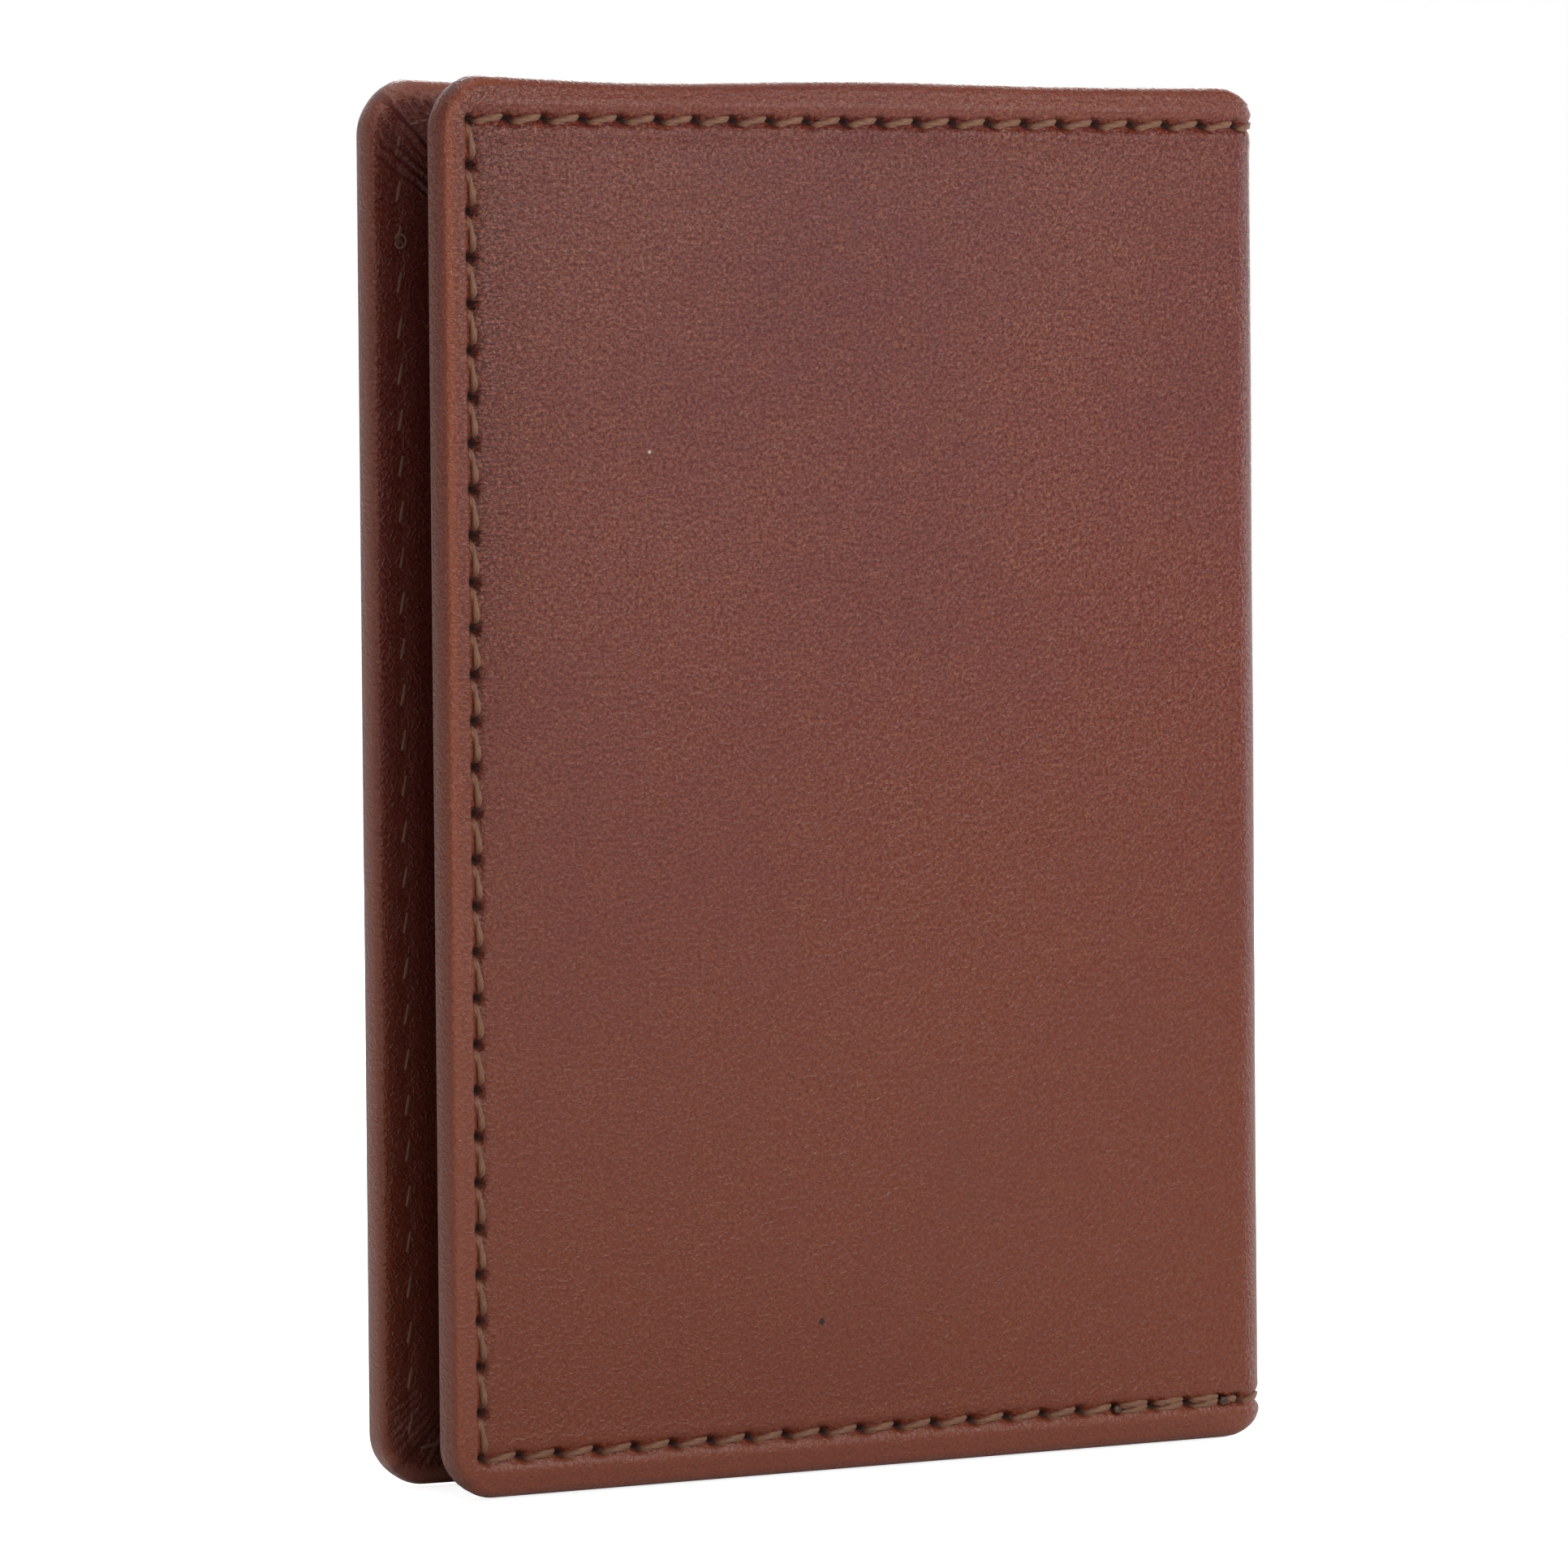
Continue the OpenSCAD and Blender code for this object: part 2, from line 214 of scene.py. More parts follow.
# waxed full grain: slow clouds, fine mottling, pores and hair-thin scratches, with a painted sheen that makes
# the lighter grain paler
def makeGrainGroup():
    tree, given, out = newGroup(
        "leatherGrain",
        [("Millimetres", "NodeSocketVector", None), ("Colour", "NodeSocketColor", None),
         ("Deep", "NodeSocketColor", None), ("Warm", "NodeSocketColor", None),
         ("Rough", "NodeSocketFloat", 0.45), ("Pored", "NodeSocketFloat", 0.0)],
        [("Colour", "NodeSocketColor"), ("Rough", "NodeSocketFloat"), ("Height", "NodeSocketFloat")])
    place = given["Millimetres"]
    clouds = noiseAt(tree, place, 0.035, 3.0, 0.55)
    blotch = noiseAt(tree, place, 0.32, 4.0, 0.65)
    fine = noiseAt(tree, place, 2.6, 3.0, 0.7, (1.0, 1.0, 0.7))
    pores = addNode(tree, "ShaderNodeTexVoronoi", {"feature": "F1"}, Vector=place, Scale=2.4,
                    Randomness=1.0).outputs["Distance"]
    pores = ramp(tree, pores, 0.12, 0.34, 1.0, 0.0)
    sparse = ramp(tree, blotch, 0.42, 0.60)
    pores = maths(tree, "MULTIPLY", pores, sparse)
    wrinkle = addNode(tree, "ShaderNodeTexVoronoi", {"feature": "DISTANCE_TO_EDGE"}, Vector=place,
                      Scale=1.5, Randomness=1.0).outputs["Distance"]
    wrinkle = ramp(tree, wrinkle, 0.0, 0.16)
    shade = mixColour(tree, ramp(tree, clouds, 0.36, 0.66), given["Colour"], given["Deep"])
    shade = mixColour(tree, ramp(tree, blotch, 0.38, 0.72, 0.0, 0.45), shade, given["Warm"])
    grit = noiseAt(tree, place, 3.6, 2.0, 0.6)
    tone = maths(tree, "MULTIPLY", ramp(tree, fine, 0.35, 0.65, 0.78, 1.20),
                 ramp(tree, grit, 0.3, 0.7, 0.62, 1.34))
    grainAndSheen = maths(tree, "POWER", tone, 2.2)  # grain tone with a painted sheen: the lighter grain also loses its red, standing in for glints off the raised grain
    shade = mixColour(tree, 1.0, shade, addNode(tree, "ShaderNodeCombineColor", {}, i0=tone, i1=grainAndSheen,
                                               i2=grainAndSheen).outputs[0], "MULTIPLY")
    dashes = noiseAt(tree, place, 2.3, 1.0, 0.5, (1.0, 2.4, 1.0))
    dashes = maths(tree, "MULTIPLY", ramp(tree, dashes, 0.53, 0.60), given["Pored"])
    pores = maths(tree, "MAXIMUM", maths(tree, "MULTIPLY", pores, 0.6), dashes)
    shade = mixColour(tree, maths(tree, "MULTIPLY", pores, 0.72), shade, (0.040, 0.009, 0.007, 1))
    height = maths(tree, "ADD", maths(tree, "MULTIPLY", fine, 0.6), maths(tree, "MULTIPLY", grit, 0.8))
    height = maths(tree, "SUBTRACT", height, maths(tree, "MULTIPLY", pores, 0.8))
    height = maths(tree, "ADD", height, maths(tree, "MULTIPLY", wrinkle, 0.25))
    rough = maths(tree, "ADD", given["Rough"], ramp(tree, fine, 0.3, 0.7, -0.06, 0.06))
    rough = maths(tree, "ADD", rough, ramp(tree, clouds, 0.3, 0.7, -0.04, 0.05))
    tree.links.new(shade, out["Colour"])
    tree.links.new(rough, out["Rough"])
    tree.links.new(height, out["Height"])
    return tree


# twisted yarn: fibres that run along the piece's own map
def makeTwistGroup():
    tree, given, out = newGroup(
        "yarnTwist",
        [("Map", "NodeSocketVector", None), ("Millimetres", "NodeSocketVector", None),
         ("Colour", "NodeSocketColor", None), ("Deep", "NodeSocketColor", None)],
        [("Colour", "NodeSocketColor"), ("Height", "NodeSocketFloat")])
    fibres = noiseAt(tree, given["Map"], 1.0, 3.0, 0.7, (26.0, 5.0, 1.0))
    patch = noiseAt(tree, given["Millimetres"], 0.8, 3.0, 0.6)
    shade = mixColour(tree, ramp(tree, fibres, 0.35, 0.68), given["Deep"], given["Colour"])
    shade = mixColour(tree, ramp(tree, patch, 0.35, 0.75, 0.0, 0.4), shade, given["Deep"])
    tree.links.new(shade, out["Colour"])
    tree.links.new(fibres, out["Height"])
    return tree


def startMaterial(name):
    material = bpy.data.materials.new(name)
    material.use_nodes = True
    tree = material.node_tree
    return material, tree, tree.nodes["Principled BSDF"]


def useGroup(tree, group, **sockets):
    item = tree.nodes.new("ShaderNodeGroup")
    item.node_tree = group
    for key, value in sockets.items():
        if isinstance(value, bpy.types.NodeSocket):
            tree.links.new(value, item.inputs[key])
        else:
            item.inputs[key].default_value = value
    return item.outputs


def attribute(tree, name):
    return addNode(tree, "ShaderNodeAttribute", {"attribute_name": name}).outputs["Fac"]


# the shell's own map of the leather laid flat, in decimetres
def flatPlace(tree):
    flat = addNode(tree, "ShaderNodeUVMap", {"uv_map": "flat"}).outputs[0]
    return addNode(tree, "ShaderNodeVectorMath", {"operation": "SCALE"}, i0=flat, Scale=100.0).outputs[0]


# a small round mark at a place on the laid-out leather
def spot(tree, place, at, radius):
    gap = addNode(tree, "ShaderNodeVectorMath", {"operation": "DISTANCE"}, i0=place, i1=(*at, 0.0))
    return ramp(tree, gap.outputs["Value"], radius * 0.7, radius * 1.3, 1.0, 0.0)


def makeLeather(name, group, colour, deep, warm, rough, bump, worked=False):
    material, tree, shader = startMaterial(name)
    place = flatPlace(tree) if worked else millimetres(tree)
    pored = attribute(tree, "pored") if worked else 0.0
    grain = useGroup(tree, group, Millimetres=place, Colour=colour, Deep=deep, Warm=warm, Rough=rough,
                     Pored=pored)
    shade = grain["Colour"]
    if worked:  # the sewn shell carries painted light and shade: warmer low down, painted shade in the turned hem and the stitch holes, lightened margins, a painted edge band and a painted rim highlight; then a small dark spot and a small pale spot
        along, height = addNode(tree, "ShaderNodeSeparateXYZ", {}, i0=place).outputs[:2]
        # painted light: the leather is made warmer towards the bottom, standing in for the warm light that
        # falls on it from below
        shade = mixColour(tree, ramp(tree, height, 10.0, 85.0, 0.6, 0.0), shade, (0.174, 0.039, 0.0130, 1))
        # painted shade: the turned-in hem, deep between the covers, is darkened
        shade = mixColour(tree, maths(tree, "MULTIPLY", attribute(tree, "turned"), 0.62), shade,
                          (0.085, 0.014, 0.011, 1))
        # painted light: the stitched margins between seam and rim are lightened, standing in for the light on
        # their puffed roll; the turned hem is left out
        marginLight = maths(tree, "MAXIMUM", ramp(tree, along, seam["sideAt"], seam["sideAt"] + 0.7), ramp(
            tree, maths(tree, "ABSOLUTE", maths(tree, "SUBTRACT", height, case["height"] / 2)),
            case["height"] / 2 - seam["end"], case["height"] / 2 - seam["end"] + 0.7))
        marginLight = maths(tree, "MULTIPLY", marginLight, maths(tree, "SUBTRACT", 1.0, attribute(tree, "turned")))
        shade = mixColour(tree, maths(tree, "MULTIPLY", marginLight, 0.26), shade, (0.27, 0.082, 0.050, 1))
        # painted edge shading: the orange band along the rounded edge
        shade = mixColour(tree, attribute(tree, "paintedEdgeBand"), shade, (0.27, 0.062, 0.022, 1))
        # painted highlight round the rim
        shade = mixColour(tree, maths(tree, "MULTIPLY", attribute(tree, "rimHighlight"), 0.90), shade,
                          (0.27, 0.095, 0.068, 1))
        # painted shade: the stitch holes are darkened
        shade = mixColour(tree, attribute(tree, "hole"), shade, (0.012, 0.004, 0.003, 1))
        shade = mixColour(tree, spot(tree, place, (44.4, 11.4), 0.26), shade, (0.02, 0.006, 0.005, 1))
        shade = mixColour(tree, spot(tree, place, (59.2, 77.3), 0.14), shade, (0.45, 0.36, 0.31, 1))
    tree.links.new(shade, shader.inputs["Base Color"])
    rough = grain["Rough"]
    if worked:
        rough = maths(tree, "MAXIMUM", rough, attribute(tree, "hole"))
    tree.links.new(rough, shader.inputs["Roughness"])
    shader.inputs["Specular IOR Level"].default_value = 0.38
    shader.inputs["Coat Weight"].default_value = 0.05
    shader.inputs["Coat Roughness"].default_value = 0.35
    relief = addNode(tree, "ShaderNodeBump", {}, Strength=bump, Distance=0.00010, Height=grain["Height"])
    tree.links.new(relief.outputs[0], shader.inputs["Normal"])
    return material


def makeThread(name, group, colour, deep):
    material, tree, shader = startMaterial(name)
    uv = addNode(tree, "ShaderNodeUVMap", {"uv_map": "along"}).outputs[0]
    twist = useGroup(tree, group, Map=uv, Millimetres=millimetres(tree), Colour=colour, Deep=deep)
    tree.links.new(twist["Colour"], shader.inputs["Base Color"])
    shader.inputs["Roughness"].default_value = 0.55
    shader.inputs["Sheen Weight"].default_value = 0.15
    relief = addNode(tree, "ShaderNodeBump", {}, Strength=0.6, Distance=0.00004, Height=twist["Height"])
    tree.links.new(relief.outputs[0], shader.inputs["Normal"])
    return material


def makeMelted():
    material, tree, shader = startMaterial("meltedThread")
    blotch = noiseAt(tree, millimetres(tree), 3.0, 3.0, 0.6)
    shade = mixColour(tree, ramp(tree, blotch, 0.35, 0.65), (0.085, 0.035, 0.022, 1),
                      (0.035, 0.014, 0.010, 1))
    tree.links.new(shade, shader.inputs["Base Color"])
    shader.inputs["Roughness"].default_value = 0.28
    relief = addNode(tree, "ShaderNodeBump", {}, Strength=0.4, Distance=0.00005, Height=blotch)
    tree.links.new(relief.outputs[0], shader.inputs["Normal"])
    return material


def nodeMaterial(item, material):
    item.data.materials.clear()
    item.data.materials.append(material)


# fine twill: diagonal ribs crossed by a finer thread
def makeTwill():
    material, tree, shader = startMaterial("liningTwill")
    place = millimetres(tree)
    split = addNode(tree, "ShaderNodeSeparateXYZ", {}, i0=place).outputs
    diagonal = maths(tree, "SINE", maths(tree, "MULTIPLY", maths(tree, "ADD", split[0], split[2]), 14.0))
    weft = maths(tree, "SINE", maths(tree, "MULTIPLY", split[2], 30.0))
    weave = maths(tree, "ADD", maths(tree, "MULTIPLY", diagonal, 0.35), maths(tree, "MULTIPLY", weft, 0.15))
    weave = maths(tree, "ADD", weave, 0.5)
    slub = noiseAt(tree, place, 1.4, 3.0, 0.6, (1.0, 1.0, 6.0))
    shade = mixColour(tree, weave, (0.030, 0.011, 0.007, 1), (0.090, 0.038, 0.024, 1))
    shade = mixColour(tree, ramp(tree, slub, 0.4, 0.7, 0.0, 0.35), shade, (0.12, 0.055, 0.036, 1))
    tree.links.new(shade, shader.inputs["Base Color"])
    shader.inputs["Roughness"].default_value = 0.8
    shader.inputs["Sheen Weight"].default_value = 0.25
    relief = addNode(tree, "ShaderNodeBump", {}, Strength=0.5, Distance=0.00006, Height=weave)
    tree.links.new(relief.outputs[0], shader.inputs["Normal"])
    return material


# grey board or non-woven strip: short pressed fibres
def makeBoard(name, colour, deep):
    material, tree, shader = startMaterial(name)
    place = millimetres(tree)
    fibres = noiseAt(tree, place, 1.2, 4.0, 0.7, (1.0, 1.0, 4.0))
    flecks = noiseAt(tree, place, 5.0, 2.0, 0.6)
    shade = mixColour(tree, ramp(tree, fibres, 0.35, 0.7), colour, deep)
    shade = mixColour(tree, ramp(tree, flecks, 0.6, 0.75, 0.0, 0.5), shade, deep)
    tree.links.new(shade, shader.inputs["Base Color"])
    shader.inputs["Roughness"].default_value = 0.85
    relief = addNode(tree, "ShaderNodeBump", {}, Strength=0.5, Distance=0.00005, Height=fibres)
    tree.links.new(relief.outputs[0], shader.inputs["Normal"])
    return material


# a paper sweep: level under the case, then curved up behind it
def makeFloor():
    bm = bmesh.new()
    bmesh.ops.create_grid(bm, x_segments=2, y_segments=48, size=0.5)
    level, bend = sweep["level"], sweep["bend"]
    for vert in bm.verts:
        run = (vert.co.y + 0.5) * sweep["length"]
        past = min(max((run - level) / bend, 0.0), math.pi / 2)
        back = min(run, level) + bend * math.sin(past) - sweep["front"]
        rise = bend * (1 - math.cos(past)) + max(run - level - bend * math.pi / 2, 0.0)
        vert.co = Vector((vert.co.x * sweep["width"], back, cadBox[0][2] - 0.0002 + rise))
    item = finishMesh(bm, "floor", makePaper())


def makePaper():
    material, tree, shader = startMaterial("floorPaper")
    rays = tree.nodes.new("ShaderNodeLightPath").outputs
    place = tree.nodes.new("ShaderNodeTexCoord").outputs["Object"]
    across, back = addNode(tree, "ShaderNodeSeparateXYZ", {}, i0=place).outputs[:2]
    behind = maths(tree, "MULTIPLY", ramp(tree, back, 0.15, 0.8), ramp(tree, across, -0.5, 0.2))
    mirrored = maths(tree, "MULTIPLY", rays["Is Glossy Ray"], behind)
    seen = maths(tree, "MAXIMUM", rays["Is Camera Ray"], mirrored)
    shader.inputs["Base Color"].default_value = (0.86, 0.86, 0.86, 1)
    shader.inputs["Roughness"].default_value = 0.9
    shader.inputs["Specular IOR Level"].default_value = 0.1
    glow = mixColour(tree, seen, (0, 0, 0, 1), (0.84, 0.84, 0.84, 1))
    tree.links.new(glow, shader.inputs["Emission Color"])
    shader.inputs["Emission Strength"].default_value = 1.0
    return material


# Everything on the shell is made flat: x runs from the fold's crown to the free edge, y is the depth
# below the outer face and z the height. foldUp then bends it round the fold into its cover.
def smooth(low, high, value):
    t = min(max((value - low) / (high - low), 0.0), 1.0)
    return t * t * (3 - 2 * t)


def foldPoint(point, sign):
    radius = case["foldRadius"]
    u = point.x - case["quarter"]
    if u >= 0:
        along, off = u, radius - point.y
    else:
        turn = -u / radius
        along, off = -(radius - point.y) * math.sin(turn), (radius - point.y) * math.cos(turn)
    spread = case["open"]
    x = case["foldX"] - along * math.cos(spread) + off * math.sin(spread)
    y = -along * math.sin(spread) - off * math.cos(spread)
    return Vector((x, -sign * y, point.z)) * mm


def foldUp(bm, sign):
    for vert in bm.verts:
        vert.co = foldPoint(vert.co, sign)
    if sign > 0:  # the rear half is a mirror image, so its faces are turned back
        bmesh.ops.reverse_faces(bm, faces=bm.faces)


def finishMesh(bm, name, material):
    mesh = bpy.data.meshes.new(name)
    bm.to_mesh(mesh)
    bm.free()
    for polygon in mesh.polygons:
        polygon.use_smooth = True
    mesh.materials.append(material)
    item = bpy.data.objects.new(name, mesh)
    scene.collection.objects.link(item)
    return item


def bendWith(item):
    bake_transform(item)


shell = {"grid": 1.4, "band": 5.6, "foldBand": 6.6, "bandCuts": 3, "seamBand": 1.15, "seamCuts": 1,
         "inset": 1.15, "sideRound": 0.5, "endRound": 1.1, "rimSteps": 14, "hemSteps": 18, "lip": 0.7,
         "gather": 12.0, "channel": 0.42, "channelWidth": 0.42, "hole": 0.45, "holeLength": 0.30,
         "rowHole": 0.40, "holeWidth": 0.36, "holeLean": 0.7, "puff": 0.23, "panelPuff": 0.10, "wave": 0.05,
         "dip": 1.0, "dipRun": 6.0, "bow": 0.3, "overlap": 0.12}
pleats = {"count": 9, "height": 0.46, "from": (10.5, 12.5), "low": 31.0, "high": 72.0, "cornerRun": 9.5,
          "reach": 4.5, "lowReach": 8.0, "lowHeight": 0.26, "lowCount": 13}


# distance from the nearest run of seam, distance along it from the nearest hole, and which side of it
def seamAt(s, z, sign):
    best = (99.0, 99.0, 0.0)
    low = seam["end"]
    high = case["height"] - seam["end"]
    side = seam["sideAt"]
    for level, inward, row in ((low, 1.0, "low"), (high, -1.0, "high")):
        off = (z - level) * inward
        beyond = max(s - side, 0.0)
        distance = math.hypot(off, beyond)
        if distance < best[0]:
            best = (distance, nearestHole(seam["rows"][sign][row], s), off, s, level)
    off = side - s
    beyond = max(low - z, z - high, 0.0)
    distance = math.hypot(off, beyond)
    if distance < best[0]:
        best = (distance, nearestHole(seam["columnHoles"], z), off, s, z)
    return best


def nearestHole(holes, at):
    index = bisect_left(holes, at)
    return min((at - hole for hole in holes[max(index - 1, 0):index + 1]), key=abs)


# point at distance edge from the outline and run along it from a free corner; the run is shortened as the
# leather goes round the corner, so that it gathers there and nothing folds over
def cornerPoint(edge, run, rowSide):
    radius = max(case["cornerRadius"] - edge, 0.0)
    arc = radius * math.pi / 4
    far = shell["gather"]
    if run < far:
        length = run * (far - radius + arc) / far
    else:
        length = run - radius + arc
    if length < arc:
        angle = length / radius
        across = edge + radius * (1 - math.cos(math.pi / 4 - angle))
        along = edge + radius * (1 - math.sin(math.pi / 4 - angle))
    else:
        across = edge
        along = edge + radius + (length - arc)
    return (along, across) if rowSide else (across, along)


# flat place of a point from its distances to the free edge and to the nearer end, at the outline's inset edge
def ringPlace(fromSide, fromEnd, edge, base):
    rowSide = fromSide >= fromEnd
    run = abs(fromSide - fromEnd)
    far = shell["gather"]
    if base is not None and edge != base:
        run = run * (far - edge) / (far - base) if run < far - base else run + base - edge
    return cornerPoint(edge, run, rowSide)


def outerLift(s, z, sign):
    distance, run, off, nearS, nearZ = seamAt(s, z, sign)
    lift = shell["wave"] * noise.noise(Vector((s * 0.05, z * 0.05, 3.0)))
    hole = 0.0
    if distance < 3.2:
        calm = smooth(0.0, 4.0, s)
        pull = 0.72 + 0.28 * math.cos(2 * math.pi * run / seam["pitch"])
        lift -= shell["channel"] * pull * math.exp(-(distance / shell["channelWidth"]) ** 2)
        if off < 0:
            lift += shell["puff"] * math.exp(-((distance - 1.2) / 0.75) ** 2) * (1.15 - 0.3 * pull) * calm
        else:
            lift += shell["panelPuff"] * math.exp(-((distance - 1.0) / 0.55) ** 2) * (1.1 - 0.5 * pull) * calm
        column = abs(nearS - seam["sideAt"]) < 1e-6 and abs(s - nearS) > abs(z - nearZ)
        run += shell["holeLean"] * sign * ((s - nearS) if column else (z - nearZ)) * (-1 if column else 1)
        long = shell["holeLength"] if column else shell["rowHole"]
        hole = math.exp(-(abs(run) / long) ** 2.6 - (distance / shell["holeWidth"]) ** 2)
        lift -= shell["hole"] * hole
    return lift, hole


# gathered folds fan out across the hem towards the rounded corner
def pleatLift(fromSide, fromEnd, hand):
    x = pleats["from"][0] - fromSide
    y = pleats["from"][1] - fromEnd
    if x <= 0 or y <= 0:
        return 0.0
    angle = math.degrees(math.atan2(y, x))
    t = (angle - pleats["low"]) / (pleats["high"] - pleats["low"])
    if t <= 0 or t >= 1:
        return 0.0
    away = math.hypot(x, y)
    phase = t * (pleats["count"] if hand > 0 else pleats["lowCount"])
    phase += 0.35 * noise.noise(Vector((away * 0.45, t * 4.0, hand * 5.0)))
    tooth = phase - math.floor(phase)
    tall = 0.65 + 0.7 * noise.noise(Vector((math.floor(phase) * 3.3, hand * 9.0, 1.7)))
    ridge = (tooth / 0.75) ** 0.8 if tooth < 0.75 else ((1 - tooth) / 0.25) ** 1.3
    reach = pleats["reach"] if hand > 0 else pleats["lowReach"]
    ends = smooth(0.0, 0.10, t) * smooth(1.0, 0.90, t) * smooth(reach, reach + 2.5, away)
    height = pleats["height"] if hand > 0 else pleats["lowHeight"]
    return height * (ridge - 0.55) * tall * ends


# the rim in section: t runs from the outer face, round both edges and on to the hem
def rimPoint(t, radius):
    quarter = radius * math.pi / 2
    face = case["edge"] - 2 * radius
    past = t * (2 * quarter + face)
    if past <= quarter:
        turn = past / radius
        return radius * (1 - math.sin(turn)), radius * (1 - math.cos(turn))
    if past <= quarter + face:
        along = (past - quarter) / face
        return -0.06 * math.sin(math.pi * along), radius + past - quarter
    turn = (past - quarter - face) / radius
    return radius * (1 - math.cos(turn)), case["edge"] - radius + radius * math.sin(turn)


def makeShell(cover, sign, material):
    bm = bmesh.new()
    height = case["height"]
    inset = shell["inset"]
    wide = case["flat"] - inset
    tall = height - 2 * inset
    bmesh.ops.create_grid(bm, x_segments=round(wide / shell["grid"]), y_segments=round(tall / shell["grid"]),
                          size=0.5)
    bmesh.ops.scale(bm, vec=(wide, tall, 1), verts=bm.verts)
    bmesh.ops.translate(bm, vec=(wide / 2, height / 2, 0), verts=bm.verts)
    rimBand = lambda co: min(case["flat"] - co.x, co.y, height - co.y) < shell["band"]
    band = [e for e in bm.edges if all(rimBand(v.co) or v.co.x < shell["foldBand"] for v in e.verts)]
    bmesh.ops.subdivide_edges(bm, edges=band, cuts=shell["bandCuts"], use_grid_fill=True)
    near = [e for e in bm.edges if all(seamAt(v.co.x, v.co.y, sign)[0] < shell["seamBand"] for v in e.verts)]
    bmesh.ops.subdivide_edges(bm, edges=near, cuts=shell["seamCuts"], use_grid_fill=True)

    # layers: over is 0 on the face, up to 1 round the rim, then 1 plus the run into the hem
    over = bm.verts.layers.float.new("over")
    marks = {name: bm.verts.layers.float.new(name) for name in ("hole", "rimHighlight", "paintedEdgeBand", "pored", "turned")}
    flatMap = bm.loops.layers.uv.new("flat")
    hemRun = case["hem"] - shell["sideRound"]
    steps = [0.004] + [(i + 1) / shell["rimSteps"] for i in range(shell["rimSteps"])]
    steps += [1 + hemRun * (i + 1) / shell["hemSteps"] for i in range(shell["hemSteps"])]
    steps += [1 + hemRun + 0.12, 1 + hemRun + shell["lip"]]
    crown = 1e-4
    edges = [e for e in bm.edges if e.is_boundary and not all(v.co.x < crown for v in e.verts)]
    for step in steps:
        made = bmesh.ops.extrude_edge_only(bm, edges=edges)["geom"]
        for vert in made:
            if isinstance(vert, bmesh.types.BMVert):
                vert[over] = step
        edges = [g for g in made if isinstance(g, bmesh.types.BMEdge)
                 and all(abs(v[over] - step) < 1e-5 for v in g.verts)]
    cornerRun = lambda co: abs(case["flat"] - co.x - min(co.y, height - co.y))
    gathered = [e for e in bm.edges
                if all(v[over] >= 0.999 and cornerRun(v.co) < pleats["cornerRun"] for v in e.verts)]
    bmesh.ops.subdivide_edges(bm, edges=gathered, cuts=1, use_grid_fill=True)
    # a narrow strip past the crown, tucked under the other half
    crownEdges = [e for e in bm.edges if e.is_boundary and all(v.co.x < crown for v in e.verts)]
    tucked = [g for g in bmesh.ops.extrude_edge_only(bm, edges=crownEdges)["geom"]
              if isinstance(g, bmesh.types.BMVert)]
    bmesh.ops.translate(bm, verts=tucked, vec=(-shell["overlap"], 0, 0))

    flatOf = {}
    for vert in bm.verts:
        s, z, past = vert.co.x, vert.co.y, vert[over]
        fromSide = case["flat"] - s
        upper = z > height / 2
        fromEnd = height - z if upper else z
        flatS, flatZ = s, z
        edge = min(fromSide, fromEnd)
        depth = 0.0
        base = None
        if past > 0:
            base = inset
            sideShare = smooth(-2.5, 2.5, fromEnd - fromSide)
            radius = shell["endRound"] + (shell["sideRound"] - shell["endRound"]) * sideShare
            edge, depth = rimPoint(min(past, 1.0), radius)
            rimLength = (math.pi - 2) * radius + case["edge"]
            beyond = inset - radius + rimLength * min(past, 1.0) + max(past - 1, 0.0)
            flatS += beyond if fromSide < inset + 1e-3 else 0.0
            flatZ += (beyond if fromEnd < inset + 1e-3 else 0.0) * (1 if upper else -1)
            if past > 1:
                edge = radius + min(past - 1, hemRun) * (case["hem"] - radius) / hemRun
                depth = case["edge"] - max(past - 1 - hemRun, 0.0)
        flatOf[vert] = (flatS, flatZ)
        side, end = ringPlace(fromSide, fromEnd, edge, base)
        s = case["flat"] - side
        if upper:  # the top edge isn't cut quite straight
            bow = shell["bow"] * math.cos(math.pi * side / 20) * math.exp(-side / 40)
            end -= bow * smooth(2.6, 0.0, end)
        if s < shell["dipRun"]:  # the ends of the spine are drawn in
            end += shell["dip"] * (1 - (s / shell["dipRun"]) ** 2) ** 2 * smooth(2.8, 0.0, end)
        z = height - end if upper else end
        lift, hole = outerLift(s, z, sign)
        if past <= 0:
            depth -= lift * smooth(inset - 0.3, inset + 0.7, edge)
            vert[marks["hole"]] = min(hole * 1.25, 1.0)
        if past < 0.3:
